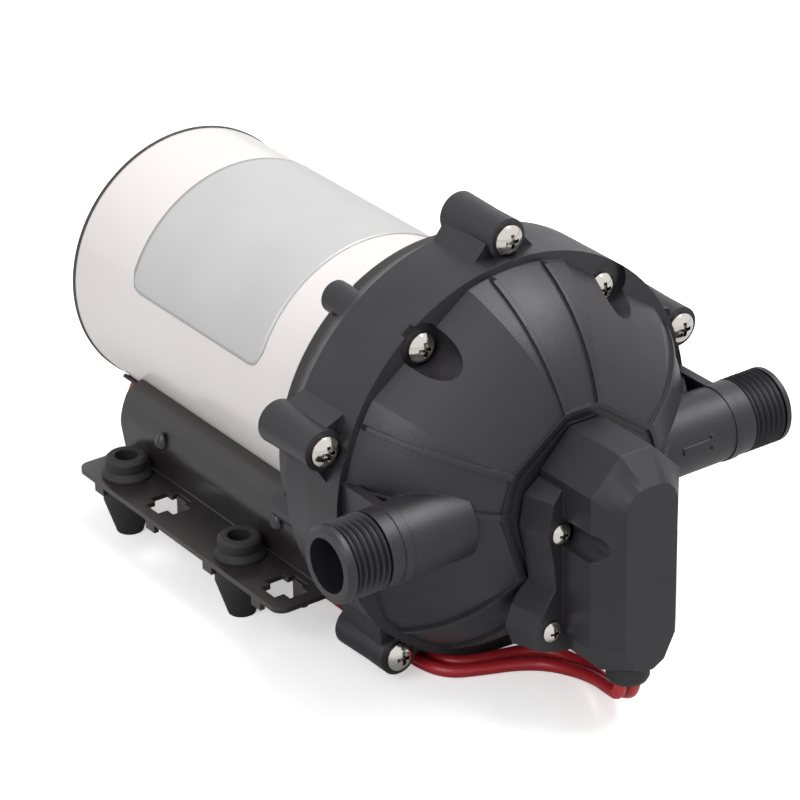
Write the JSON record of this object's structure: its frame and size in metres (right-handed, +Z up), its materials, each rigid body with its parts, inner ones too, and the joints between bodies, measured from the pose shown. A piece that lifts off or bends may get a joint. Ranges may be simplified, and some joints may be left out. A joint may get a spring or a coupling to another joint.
{
  "type": "electric water pump",
  "caption": "Compact twelve volt diaphragm water pump with motor, threaded side ports, pressure switch and rubber-footed steel base.",
  "frame": {"origin": "centre of the four foot screws on the floor under the rubber feet", "axes": "+X towards the outlet port, +Y from the pump head to the motor's rear, +Z up"},
  "size_m": [0.1832, 0.2177, 0.1266],
  "materials": {
    "housing_plastic": "satin",
    "switch_plastic": "satin",
    "can_enamel": "gloss enamel",
    "label_foil": "printed foil, left bare",
    "base_steel": "black enamel",
    "dark_steel": "black enamel",
    "screw_steel": "bright nickel",
    "bearing_steel": "ground",
    "spring_steel": "wire",
    "foot_rubber": "matte",
    "seal_rubber": "matte",
    "valve_plastic": "moulded",
    "drive_plastic": "glass-filled",
    "cam_metal": "cast",
    "core_steel": "laminated",
    "copper": "enamelled wire",
    "ferrite": "sintered",
    "holder_plastic": "moulded",
    "carbon": "pressed",
    "switch_inner_plastic": "moulded",
    "button_plastic": "moulded",
    "terminal_metal": "plated",
    "wire_red": "insulation",
    "wire_copper": "tinned strands",
    "tie_wire": "paper-covered wire"
  },
  "bodies": {
    "pump_body": {"base_bracket": "base_steel", "bracket_screws": "screw_steel", "brush_holder": "holder_plastic", "brush_springs": "spring_steel", "coil_tie": "tie_wire", "diaphragm": "seal_rubber", "front_feet": "foot_rubber", "inlet_valves": "seal_rubber", "inner_screws": "screw_steel", "lower_housing": "housing_plastic", "lug_screws": "screw_steel", "magnets": "ferrite", "microswitch_body": "switch_inner_plastic", "microswitch_screws": "screw_steel", "microswitch_terminals": "terminal_metal", "motor_bearing_outer_rings": "bearing_steel", "motor_can": "can_enamel", "motor_front_plate": "dark_steel", "motor_grommet": "seal_rubber", "motor_label": "label_foil", "motor_lead": "wire_red", "motor_rear_cap": "dark_steel", "outlet_seal": "seal_rubber", "outlet_valve": "seal_rubber", "plate_screws": "screw_steel", "plunger_spring": "spring_steel", "rear_feet": "foot_rubber", "supply_lead": "wire_red", "supply_lead_coil": "wire_red", "supply_lead_end": "wire_copper", "switch_base": "switch_inner_plastic", "switch_cover": "switch_plastic", "switch_diaphragm": "seal_rubber", "switch_screws": "screw_steel", "switch_wires": "wire_red", "through_bolts": "screw_steel", "upper_housing": "housing_plastic", "valve_plate": "valve_plastic", "wire_boot": "seal_rubber"},
    "rotor": {"motor_shaft": "bearing_steel", "armature_core": "core_steel", "armature_winding": "copper", "commutator": "copper", "cam_hub": "cam_metal", "cam_set_screw": "screw_steel", "motor_bearing_inner_rings": "bearing_steel", "wobble_bearing_inner_ring": "bearing_steel"},
    "wobble": {"wobble_plate": "drive_plastic", "piston_discs": "drive_plastic", "piston_screws": "screw_steel", "wobble_bearing_outer_ring": "bearing_steel"},
    "motor_balls": {"motor_bearing_balls": "bearing_steel"},
    "wobble_balls": {"wobble_bearing_balls": "bearing_steel"},
    "brush_left_body": {"brush_left": "carbon"},
    "brush_right_body": {"brush_right": "carbon"},
    "plunger": {"switch_plunger": "switch_inner_plastic"},
    "lever": {"microswitch_lever": "screw_steel"},
    "button": {"microswitch_button": "button_plastic"},
    "adjuster": {"pressure_adjuster": "switch_inner_plastic"}
  },
  "joints": [
    {"name": "rotor_spin", "type": "hinge", "parent": "pump_body", "child": "rotor", "pos_m": [0, 0, 0.059], "axis": [0, 1, 0], "continuous": true},
    {"name": "wobble_turn", "type": "hinge", "parent": "rotor", "child": "wobble", "pos_m": [0, -0.07875, 0.059], "axis": [0, 0.999, 0.0436], "continuous": true, "deforming": ["diaphragm"]},
    {"name": "motor_balls_turn", "type": "hinge", "parent": "pump_body", "child": "motor_balls", "pos_m": [0, 0, 0.059], "axis": [0, 1, 0], "continuous": true},
    {"name": "wobble_balls_turn", "type": "hinge", "parent": "rotor", "child": "wobble_balls", "pos_m": [0, -0.07875, 0.059], "axis": [0, 0.999, 0.0436], "continuous": true},
    {"name": "brush_left_slide", "type": "slide", "parent": "pump_body", "child": "brush_left_body", "axis": [-1, 0, 0], "range_m": [0, 0.0015], "stiffness_N_per_m": 250, "springref_m": -0.006, "deforming": ["brush_springs"]},
    {"name": "brush_right_slide", "type": "slide", "parent": "pump_body", "child": "brush_right_body", "axis": [1, 0, 0], "range_m": [0, 0.0015], "stiffness_N_per_m": 250, "springref_m": -0.006, "deforming": ["brush_springs"]},
    {"name": "plunger_slide", "type": "slide", "parent": "pump_body", "child": "plunger", "axis": [0, -1, 0], "range_m": [0, 0.001], "stiffness_N_per_m": 4000, "springref_m": -0.01, "deforming": ["plunger_spring", "switch_diaphragm"]},
    {"name": "lever_pivot", "type": "hinge", "parent": "pump_body", "child": "lever", "pos_m": [0, -0.13654, 0.0336], "axis": [1, 0, 0], "range_deg": [0, 3.5]},
    {"name": "button_slide", "type": "slide", "parent": "pump_body", "child": "button", "axis": [0, -1, 0], "range_m": [0, 0.0005]},
    {"name": "adjuster_turn", "type": "hinge", "parent": "pump_body", "child": "adjuster", "pos_m": [0, -0.1298, 0.059], "axis": [0, 1, 0], "range_deg": [-180, 180]}
  ],
  "couplings": [
    {"joint": "wobble_turn", "follows": "rotor_spin", "ratio": -1},
    {"joint": "motor_balls_turn", "follows": "rotor_spin", "ratio": 0.36},
    {"joint": "wobble_balls_turn", "follows": "rotor_spin", "ratio": -0.6085},
    {"joint": "lever_pivot", "follows": "plunger_slide", "rad_per_m": 39.291},
    {"joint": "button_slide", "follows": "plunger_slide", "ratio": 0.304}
  ]
}
